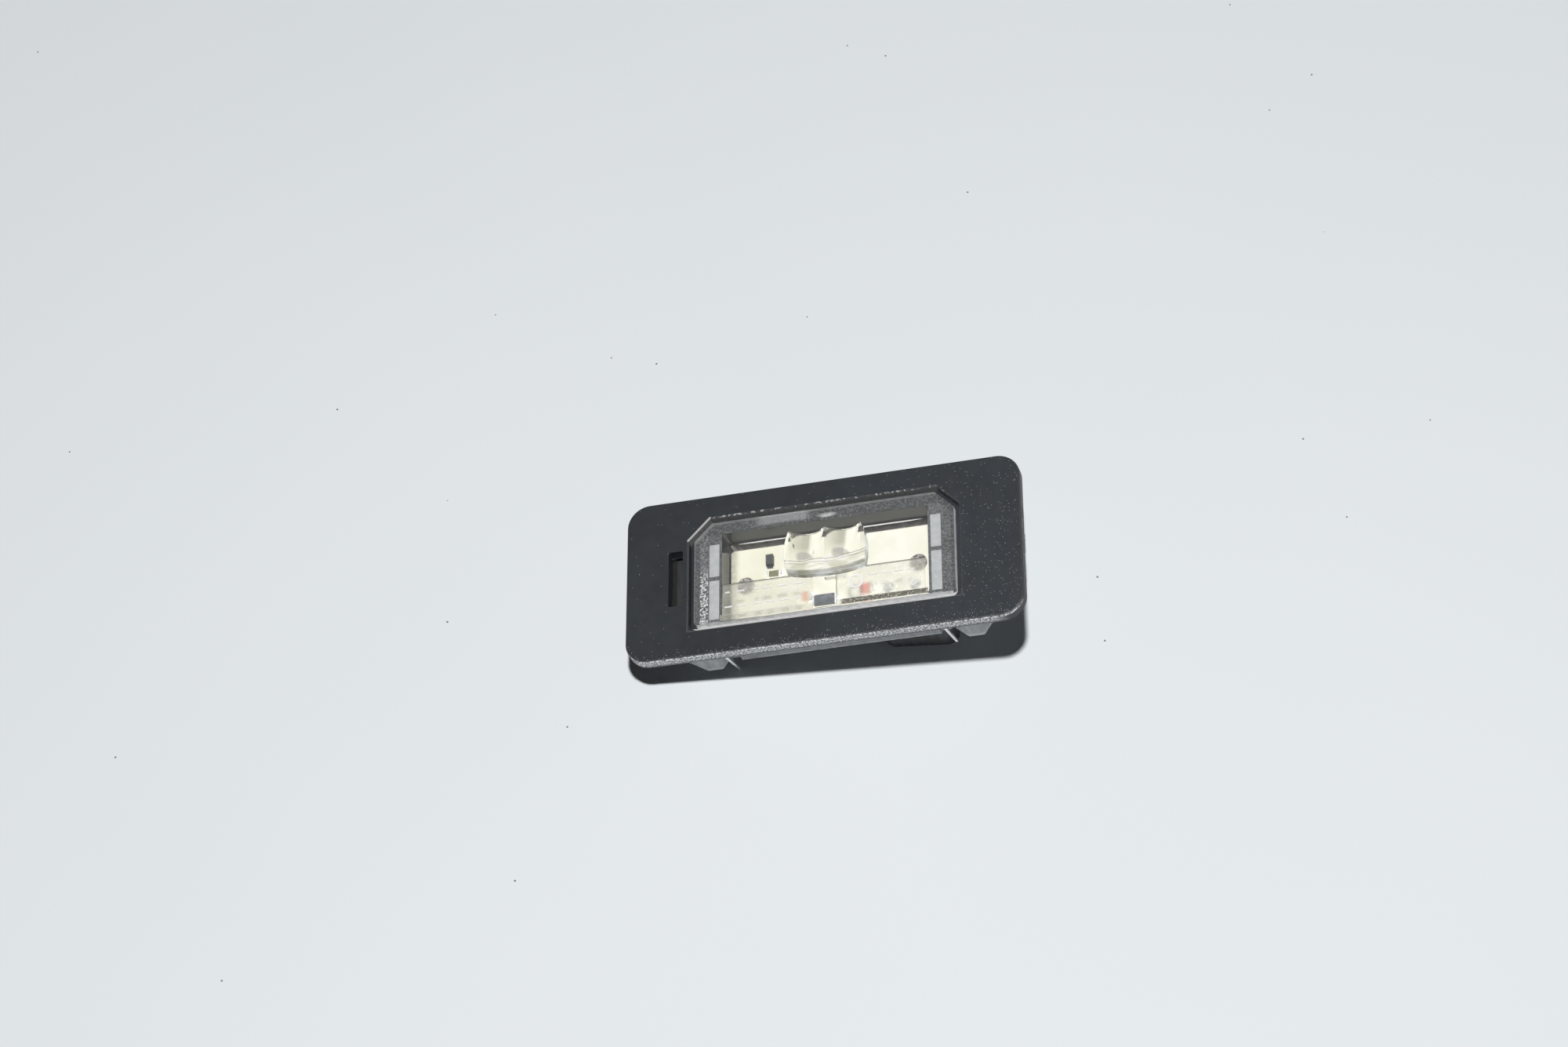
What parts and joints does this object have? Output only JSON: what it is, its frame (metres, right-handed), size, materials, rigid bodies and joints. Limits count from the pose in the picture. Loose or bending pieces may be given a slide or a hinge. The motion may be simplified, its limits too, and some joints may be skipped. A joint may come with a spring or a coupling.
{
  "type": "number plate lamp",
  "caption": "Clip-in car number plate lamp: black rounded frame, clear lens with a fluted optic over an LED board, latch spring, wire prongs, hook and a plug socket behind.",
  "frame": {"origin": "middle of the flange's underside, the face that lies on the panel", "axes": "+Z out of the lens, away from the panel; +X along the flange from the latch to the hook; +Y towards the lens's chamfered corners"},
  "size_m": [0.082, 0.036, 0.028],
  "materials": {
    "black_housing": "fine-grained black moulding",
    "clear_lens": "clear polished plastic with a frosted border",
    "bond_strip": "pale grey bonding strip",
    "white_board": "cream-white solder mask",
    "led_ceramic": "white ceramic",
    "led_phosphor": "pale yellow phosphor in clear silicone",
    "diode_body": "black moulded epoxy",
    "capacitor_body": "orange-brown fired ceramic",
    "varistor_body": "reddish fired ceramic",
    "resistor_body": "grey glazed ceramic",
    "chip_body": "olive-grey ceramic",
    "tinned_blade": "tinned",
    "solder": "bright solder",
    "spring_steel": "dark blued spring strip",
    "spring_wire": "bright drawn wire"
  },
  "bodies": {
    "root": {"housing": "black_housing", "lens": "clear_lens", "circuit_board": "white_board", "led_package": "led_ceramic", "led_phosphor": "led_phosphor", "protection_diode": "diode_body", "filter_capacitor": "capacitor_body", "surge_varistor": "varistor_body", "power_resistor": "resistor_body", "latch_spring": "spring_steel", "lens_bond_strip_upper_left": "bond_strip", "lens_bond_strip_lower_left": "bond_strip", "retaining_prong_front_left": "spring_wire", "retaining_prong_back_left": "spring_wire", "plug_blade_left": "tinned_blade", "solder_joint_left": "solder", "lens_bond_strip_upper_right": "bond_strip", "lens_bond_strip_lower_right": "bond_strip", "retaining_prong_front_right": "spring_wire", "retaining_prong_back_right": "spring_wire", "plug_blade_right": "tinned_blade", "solder_joint_right": "solder", "chip_resistor": "chip_body"}
  },
  "joints": []
}
